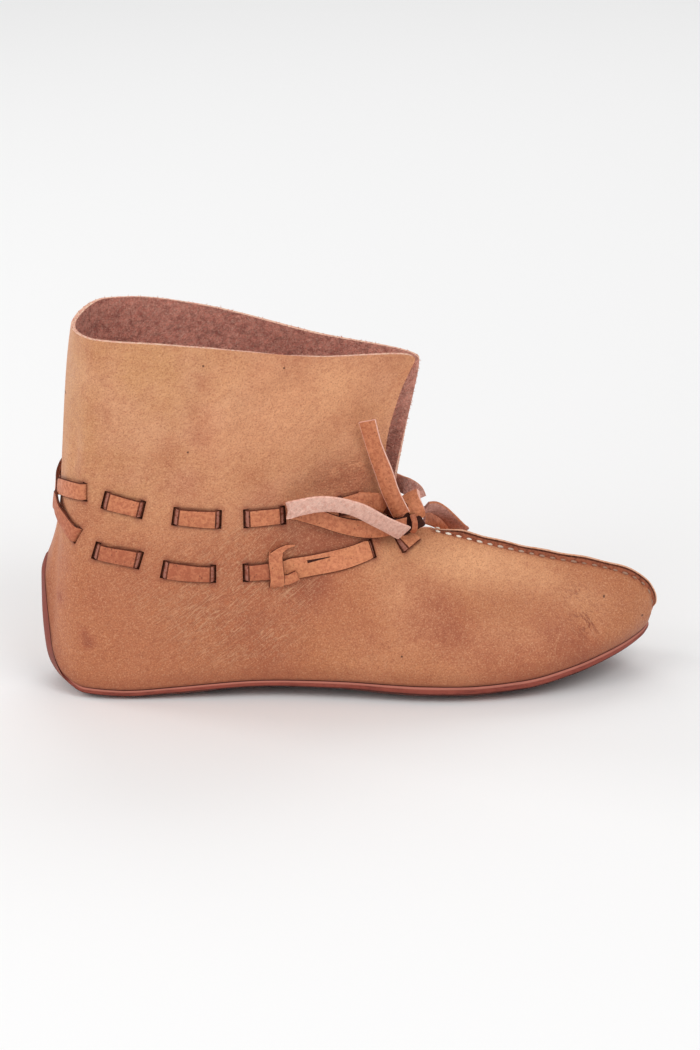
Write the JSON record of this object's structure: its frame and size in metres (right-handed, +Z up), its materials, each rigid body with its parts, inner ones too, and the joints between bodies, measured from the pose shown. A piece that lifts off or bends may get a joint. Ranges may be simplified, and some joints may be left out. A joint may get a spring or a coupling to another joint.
{
  "type": "turnshoe",
  "caption": "Ankle-high leather turnshoe with a sewn vamp ridge, a sole that climbs the heel, and a flat thong woven round the ankle and tied in a bow at the throat.",
  "frame": {"origin": "on the floor, under the middle of the shoe's own box, measured without the bow", "axes": "+X towards the toe, +Y towards the inner side of the foot, +Z up"},
  "size_m": [0.2848, 0.0899, 0.1739],
  "materials": {
    "upper_leather": "smooth tan grain side, rough brown flesh side",
    "sole_leather": "dark red-brown edge, matt underside",
    "thong_leather": "cut strap, smooth outside and pale fibrous inside"
  },
  "bodies": {
    "root": {"sole": "sole_leather", "upper": "upper_leather", "thong_high": "thong_leather", "thong_low": "thong_leather", "bow_knot": "thong_leather", "bow_loop_near": "thong_leather", "bow_loop_far": "thong_leather", "bow_end_near": "thong_leather", "bow_end_far": "thong_leather"}
  },
  "joints": []
}
